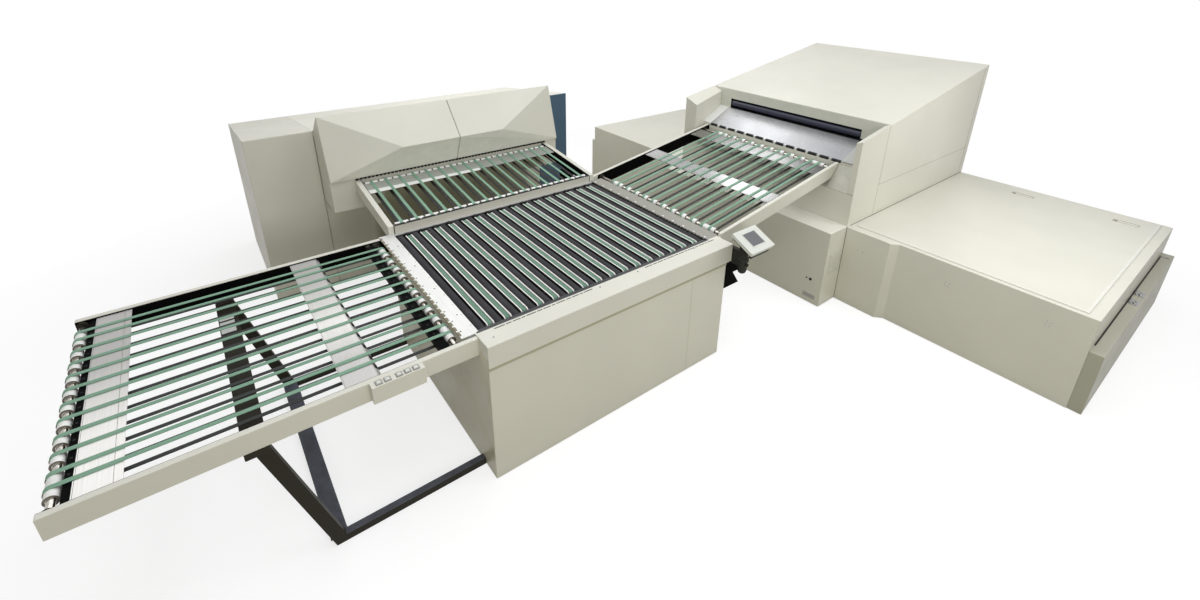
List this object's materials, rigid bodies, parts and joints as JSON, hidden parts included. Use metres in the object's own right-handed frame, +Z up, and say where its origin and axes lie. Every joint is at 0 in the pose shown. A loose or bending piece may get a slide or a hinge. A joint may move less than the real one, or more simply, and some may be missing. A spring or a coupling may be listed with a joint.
{
  "type": "computer-to-plate line",
  "caption": "Printing plate making line: two plate machines joined through a roller transfer table by narrow-belt conveyors, with a low loader cabinet, a rear box and an operator panel.",
  "frame": {"origin": "on the floor under the middle of the transfer table", "axes": "+X along the line from the free conveyor to the processor, +Y from the operator side to the back, +Z up"},
  "size_m": [7.117, 5.851, 1.814],
  "materials": {
    "cream_paint": "satin, lightly textured",
    "steel_sheet": "brushed",
    "grey_sheet": "satin",
    "green_belt": "matt, dark on the inner side",
    "foam_roller": "matt foam",
    "dark_roller": "satin",
    "white_sleeve": "satin",
    "black_paint": "satin",
    "blue_paint": "satin",
    "cream_plastic": "satin"
  },
  "bodies": {
    "root": {"table_cabinet": "cream_paint", "table_front_lip": "cream_paint", "deck_walls": "steel_sheet", "left_transfer_plate": "steel_sheet", "right_transfer_plate": "steel_sheet", "deck_rollers": "foam_roller", "belt_guides": "white_sleeve", "deck_belts": "green_belt", "left_front_rail": "cream_paint", "left_back_rail": "cream_paint", "left_liners": "black_paint", "left_end_cover": "grey_sheet", "left_middle_cover": "grey_sheet", "left_end_crossbar": "black_paint", "left_table_crossbar": "black_paint", "left_end_roller": "white_sleeve", "left_table_roller": "white_sleeve", "left_belts": "green_belt", "left_stand": "black_paint", "button_box": "cream_paint", "right_front_rail": "cream_paint", "right_back_rail": "cream_paint", "right_liners": "black_paint", "right_covers": "grey_sheet", "right_lower_roller": "white_sleeve", "right_upper_roller": "white_sleeve", "right_belts": "green_belt", "back_left_rail": "cream_paint", "back_right_rail": "cream_paint", "back_liners": "black_paint", "back_end_plate": "cream_paint", "back_cover": "grey_sheet", "back_lower_roller": "white_sleeve", "back_upper_roller": "white_sleeve", "back_belts": "green_belt", "operator_panel": "cream_plastic", "panel_post": "black_paint", "processor_body": "cream_paint", "near_cheek": "cream_paint", "far_cheek": "cream_paint", "feed_front": "cream_paint", "feed_plate": "steel_sheet", "feed_side_guides": "steel_sheet", "slot_roller": "dark_roller", "low_box": "cream_paint", "loader_cabinet": "cream_paint", "loader_lid": "cream_paint", "loader_drawer": "cream_paint", "rear_box": "cream_paint", "plate_left_cabinet": "cream_paint", "plate_body": "cream_paint", "plate_feed_housing": "cream_paint", "hood_left": "cream_paint", "hood_right": "cream_paint", "plate_tower": "cream_paint", "tower_panel": "blue_paint"}
  },
  "joints": []
}
